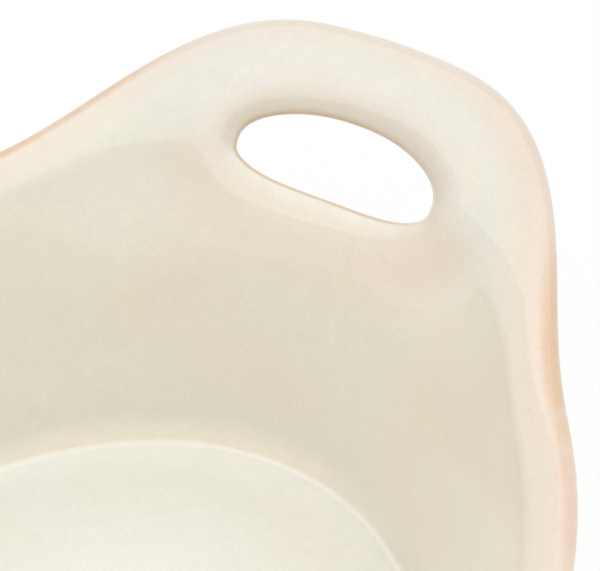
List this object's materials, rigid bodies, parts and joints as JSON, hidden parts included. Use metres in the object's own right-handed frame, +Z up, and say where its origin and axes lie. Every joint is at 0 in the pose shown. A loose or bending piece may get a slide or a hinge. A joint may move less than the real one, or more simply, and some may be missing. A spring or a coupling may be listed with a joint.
{
  "type": "oval baking dish",
  "caption": "Oval glazed stoneware baking dish with a flared wall, a turned out lip along its long sides and a raised, leaning loop handle with a finger slot at each end.",
  "frame": {"origin": "on the table, under the middle of the dish", "axes": "+X along the dish through both handles, +Y across the dish, +Z up"},
  "size_m": [0.3858, 0.245, 0.1089],
  "materials": {
    "cream_glaze": "glossy cream glaze, mottled, breaking to amber on the rim",
    "bare_clay": "unglazed fired clay"
  },
  "bodies": {
    "root": {"base_slab": "cream_glaze", "foot_ring": "bare_clay", "side_wall": "cream_glaze", "back_lip": "cream_glaze", "front_lip": "cream_glaze", "right_handle": "cream_glaze", "left_handle": "cream_glaze"}
  },
  "joints": []
}
